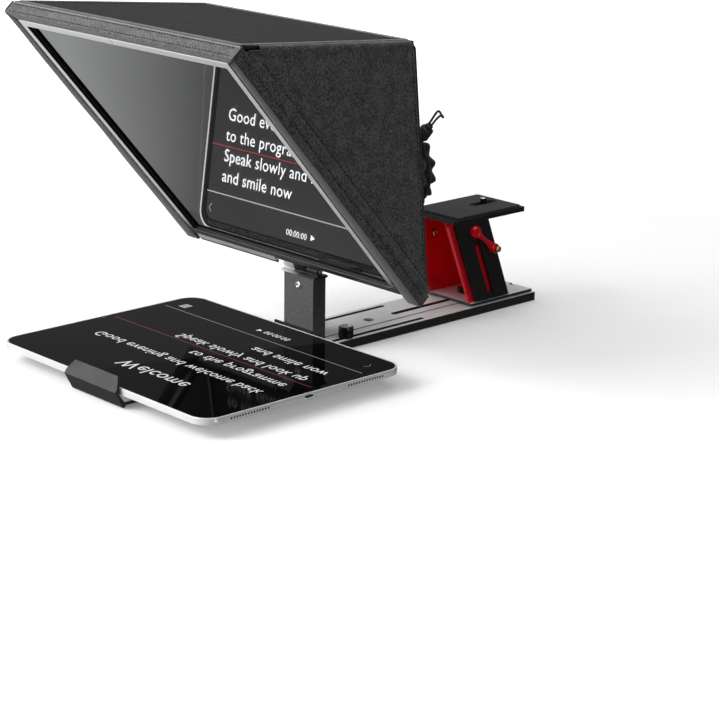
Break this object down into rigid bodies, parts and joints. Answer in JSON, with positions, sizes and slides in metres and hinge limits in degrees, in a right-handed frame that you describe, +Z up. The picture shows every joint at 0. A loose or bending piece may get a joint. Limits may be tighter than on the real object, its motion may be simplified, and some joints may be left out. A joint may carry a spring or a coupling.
{
  "type": "tablet teleprompter",
  "caption": "Tablet teleprompter: tilting beam-splitter frame with folding fabric hood on a slotted rail, sliding tablet arm and tablet, height-adjustable camera riser.",
  "frame": {"origin": "on the rail's underside, on its centre line, in the middle of the seat for a tripod plate", "axes": "+Z up, -Y towards the presenter, +Y towards the camera, +X to the right seen from the presenter"},
  "size_m": [0.3076, 0.4971, 0.3025],
  "materials": {
    "rail_top": "brushed, satin",
    "steel": "turned, satin",
    "black_anodised": "fine blasted, black anodised",
    "bare_aluminium": "milled",
    "frame_satin": "smooth satin black",
    "beam_splitter": "half-mirror coated, polished",
    "black_plastic": "moulded, fine texture",
    "rubber_pad": "matte",
    "hood_fabric": "heathered charcoal laminated cloth with a stiffener inside",
    "sleeve_fabric": "soft black cloth",
    "knob_metal": "knurled, black anodised",
    "tablet_aluminium": "fine blasted silver",
    "screen_glass": "polished, black behind",
    "display_panel": "smooth",
    "battery_wrap": "wrapped",
    "circuit_board": "solder mask",
    "red_anodised": "bright red anodised, satin",
    "brass_screw": "turned"
  },
  "bodies": {
    "base": {"base_rail": "rail_top", "tripod_thread_bush": "steel", "rail_stop_screw": "black_anodised", "column_tube": "black_anodised", "column_foot_block": "bare_aluminium", "column_head_block": "bare_aluminium", "column_cross_screw": "steel", "column_base_screw_left": "steel", "column_base_screw_right": "steel", "tablet_ledge": "black_anodised", "tablet_ledge_pad": "rubber_pad", "hinge_leaf_lower": "black_anodised", "hinge_pin": "steel"},
    "frame": {"glass_frame": "frame_satin", "glass_gasket": "rubber_pad", "beam_splitter_glass": "beam_splitter", "glass_retainer": "black_plastic", "frame_corner_clip_lower_left": "black_anodised", "frame_corner_clip_lower_right": "black_anodised", "frame_corner_clip_upper_left": "black_anodised", "frame_corner_clip_upper_right": "black_anodised", "hinge_leaf_upper": "black_anodised", "hood_collar": "hood_fabric"},
    "hood_left": {"hood_left_panel": "hood_fabric"},
    "hood_right": {"hood_right_panel": "hood_fabric"},
    "hood_top": {"hood_top_panel": "hood_fabric"},
    "hood_back": {"hood_back_panel": "hood_fabric", "lens_sleeve": "sleeve_fabric", "sleeve_cord": "sleeve_fabric"},
    "cord_lock": {"cord_lock_shell": "black_plastic"},
    "cord_button": {"cord_lock_button": "black_plastic"},
    "arm": {"tablet_arm": "black_anodised", "lip_pad": "rubber_pad", "arm_rest_pad": "rubber_pad"},
    "thumb_left": {"arm_thumb_screw_left": "knob_metal"},
    "thumb_right": {"arm_thumb_screw_right": "knob_metal"},
    "tablet": {"tablet_case": "tablet_aluminium", "tablet_screen_glass": "screen_glass", "tablet_display_panel": "display_panel", "tablet_battery": "battery_wrap", "tablet_logic_board": "circuit_board"},
    "power_button": {"tablet_power_button": "tablet_aluminium"},
    "volume_up": {"tablet_volume_up_button": "tablet_aluminium"},
    "volume_down": {"tablet_volume_down_button": "tablet_aluminium"},
    "riser": {"riser_slide_plate": "rail_top", "riser_slide_nut": "steel", "riser_tower": "red_anodised", "guide_pin_left": "brass_screw", "guide_pin_right": "brass_screw", "clamp_screw_left": "red_anodised"},
    "riser_lock": {"riser_lock_screw": "knob_metal"},
    "clamp": {"clamp_lever": "red_anodised", "clamp_lever_screw": "brass_screw"},
    "platform": {"camera_platform": "black_anodised", "platform_grip_pad": "rubber_pad"},
    "camera_carrier": {"camera_screw_carrier": "steel"},
    "camera_screw_body": {"camera_screw": "steel"}
  },
  "joints": [
    {"name": "frame_tilt", "type": "hinge", "parent": "base", "child": "frame", "pos_m": [0, -0.094, 0.0725], "axis": [-1, 0, 0], "range_deg": [-49, 3], "stiffness_Nm_per_rad": 0.6, "springref_deg": 55.35},
    {"name": "hood_left_fold", "type": "hinge", "parent": "frame", "child": "hood_left", "pos_m": [-0.15004, -0.09167, 0.07992], "axis": [-0.0193, 0.656, -0.7545], "range_deg": [0, 80], "stiffness_Nm_per_rad": 0.05},
    {"name": "hood_right_fold", "type": "hinge", "parent": "frame", "child": "hood_right", "pos_m": [0.15004, -0.09167, 0.07992], "axis": [-0.0193, -0.656, 0.7545], "range_deg": [0, 80], "stiffness_Nm_per_rad": 0.05},
    {"name": "hood_top_fold", "type": "hinge", "parent": "frame", "child": "hood_top", "pos_m": [0, -0.28252, 0.29945], "axis": [1, 0, 0], "range_deg": [-42, 0], "stiffness_Nm_per_rad": 0.4, "springref_deg": 20.63},
    {"name": "hood_back_fold", "type": "hinge", "parent": "hood_top", "child": "hood_back", "pos_m": [0, -0.09408, 0.28587], "axis": [1, 0, 0], "range_deg": [0, 132]},
    {"name": "cord_lock_slide", "type": "slide", "parent": "hood_back", "child": "cord_lock", "axis": [0.643, -0.0104, 0.7658], "range_m": [0, 0.015]},
    {"name": "cord_button_press", "type": "slide", "parent": "cord_lock", "child": "cord_button", "axis": [-0.643, 0.0104, -0.7658], "range_m": [0, 0.003], "stiffness_N_per_m": 200, "springref_m": -0.001},
    {"name": "arm_slide", "type": "slide", "parent": "base", "child": "arm", "axis": [0, -1, 0], "range_m": [0, 0.012]},
    {"name": "thumb_left_turn", "type": "hinge", "parent": "arm", "child": "thumb_left", "pos_m": [-0.026, -0.066, 0.01], "axis": [0, 0, 1], "continuous": true},
    {"name": "thumb_right_turn", "type": "hinge", "parent": "arm", "child": "thumb_right", "pos_m": [0.026, -0.066, 0.01], "axis": [0, 0, 1], "continuous": true},
    {"name": "tablet_slide", "type": "slide", "parent": "base", "child": "tablet", "axis": [1, 0, 0], "range_m": [0, 0.3]},
    {"name": "power_press", "type": "slide", "parent": "tablet", "child": "power_button", "axis": [1, 0, 0], "range_m": [0, 0.0004], "stiffness_N_per_m": 60, "springref_m": -0.0003},
    {"name": "volume_up_press", "type": "slide", "parent": "tablet", "child": "volume_up", "axis": [0, -1, 0], "range_m": [0, 0.0004], "stiffness_N_per_m": 60, "springref_m": -0.0003},
    {"name": "volume_down_press", "type": "slide", "parent": "tablet", "child": "volume_down", "axis": [0, -1, 0], "range_m": [0, 0.0004], "stiffness_N_per_m": 60, "springref_m": -0.0003},
    {"name": "riser_slide", "type": "slide", "parent": "base", "child": "riser", "axis": [0, 1, 0], "range_m": [-0.066, 0]},
    {"name": "riser_lock_turn", "type": "hinge", "parent": "riser", "child": "riser_lock", "pos_m": [0, 0.112, 0.01], "axis": [0, 0, 1], "continuous": true},
    {"name": "clamp_turn", "type": "hinge", "parent": "riser", "child": "clamp", "pos_m": [0.0343, 0.08832, 0.0803], "axis": [1, 0, 0], "range_deg": [0, 110]},
    {"name": "platform_lift", "type": "slide", "parent": "riser", "child": "platform", "axis": [0, -0.3714, 0.9285], "range_m": [0, 0.05]},
    {"name": "camera_screw_shift", "type": "slide", "parent": "platform", "child": "camera_carrier", "axis": [0, 1, 0], "range_m": [-0.012, 0.012]},
    {"name": "camera_screw_turn", "type": "hinge", "parent": "camera_carrier", "child": "camera_screw_body", "pos_m": [0, 0.132, 0.09], "axis": [0, 0, 1], "continuous": true}
  ],
  "couplings": [
    {"joint": "hood_back_fold", "follows": "hood_top_fold", "ratio": -3.14}
  ]
}
